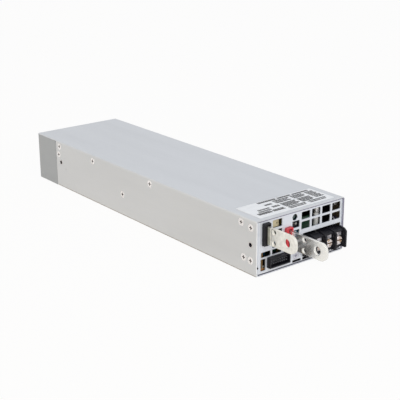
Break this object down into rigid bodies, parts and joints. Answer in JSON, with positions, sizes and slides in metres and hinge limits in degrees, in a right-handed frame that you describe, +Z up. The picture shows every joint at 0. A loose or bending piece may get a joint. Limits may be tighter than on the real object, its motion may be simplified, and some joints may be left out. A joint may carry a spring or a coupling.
{
  "type": "enclosed power supply",
  "caption": "Slim sheet-metal enclosed power supply with upright output blades, a screw terminal block, a signal header and rear fans.",
  "frame": {"origin": "centre of the base's underside, under the middle of the case without its terminals", "axes": "+Z up through the cover, -Y out of the front with the terminals, +Y out of the rear with the fans, +X to the right seen from the front"},
  "size_m": [0.085, 0.3391, 0.0411],
  "materials": {
    "cover_aluminium": "satin, fine brushed sheet",
    "chassis_aluminium": "satin sheet",
    "bracket_steel": "dull galvanised sheet",
    "label_white": "smooth film",
    "screw_steel": "nickel plated",
    "tinned_copper": "bright tin plating",
    "black_plastic": "moulded",
    "red_plastic": "moulded",
    "contact_metal": "tinned",
    "pin_metal": "plated",
    "lamp_green": "clear tinted",
    "blue_plastic": "moulded",
    "white_plastic": "moulded",
    "board_green": "solder mask",
    "film_black": "insulating film",
    "brass": "turned",
    "fan_black": "moulded",
    "bearing_steel": "ground",
    "copper_wire": "enamelled",
    "heatsink_aluminium": "extruded",
    "component_black": "moulded epoxy",
    "capacitor_sleeve": "shrink sleeve",
    "ferrite": "ground ferrite",
    "tape_yellow": "polyester tape",
    "fuse_ceramic": "ceramic tube"
  },
  "bodies": {
    "case": {"chassis": "chassis_aluminium", "top_cover": "cover_aluminium", "front_panel": "chassis_aluminium", "rear_bracket": "bracket_steel", "label_plate": "label_white", "side_screws": "screw_steel", "mounting_inserts": "screw_steel", "panel_screw": "screw_steel", "panel_nut_block": "brass", "negative_blade": "tinned_copper", "positive_blade": "tinned_copper", "negative_collar": "black_plastic", "positive_collar": "red_plastic", "terminal_block": "black_plastic", "contact_plates": "contact_metal", "terminal_washers": "contact_metal", "terminal_screws": "screw_steel", "signal_connector": "black_plastic", "signal_pins": "pin_metal", "status_lamp": "lamp_green", "trimmer_body": "blue_plastic", "selector_body": "black_plastic", "main_board": "board_green", "insulation_sheet": "film_black", "standoffs": "brass", "board_screws": "screw_steel", "panel_board": "board_green", "control_board": "board_green", "side_liner": "film_black", "left_fan_frame": "fan_black", "right_fan_frame": "fan_black", "fan_bearings": "bearing_steel", "fan_stators": "copper_wire", "fan_screws": "screw_steel", "left_heatsink": "heatsink_aluminium", "right_heatsink": "heatsink_aluminium", "power_transistors": "component_black", "bulk_capacitors": "capacitor_sleeve", "transformer_core": "ferrite", "transformer_winding": "tape_yellow", "choke_core": "ferrite", "choke_winding": "copper_wire", "filter_core": "ferrite", "output_capacitors": "capacitor_sleeve", "output_choke": "ferrite", "varistor": "blue_plastic", "auxiliary_transformer": "tape_yellow", "input_fuse": "fuse_ceramic", "relay": "component_black", "film_capacitor": "component_black"},
    "left_fan": {"left_fan_rotor": "fan_black", "left_fan_shaft": "bearing_steel"},
    "right_fan": {"right_fan_rotor": "fan_black", "right_fan_shaft": "bearing_steel"},
    "trimmer": {"trimmer_rotor": "white_plastic"},
    "selector": {"selector_lever": "white_plastic"}
  },
  "joints": [
    {"name": "left_fan_spin", "type": "hinge", "parent": "case", "child": "left_fan", "pos_m": [-0.0193, 0.1352, 0.0205], "axis": [0, 1, 0], "continuous": true},
    {"name": "right_fan_spin", "type": "hinge", "parent": "case", "child": "right_fan", "pos_m": [0.0193, 0.1352, 0.0205], "axis": [0, 1, 0], "continuous": true},
    {"name": "trimmer_turn", "type": "hinge", "parent": "case", "child": "trimmer", "pos_m": [-0.00555, -0.1482, 0.02315], "axis": [0, -1, 0], "range_deg": [-135, 135]},
    {"name": "selector_slide", "type": "slide", "parent": "case", "child": "selector", "axis": [-1, 0, 0], "range_m": [0, 0.002]}
  ]
}
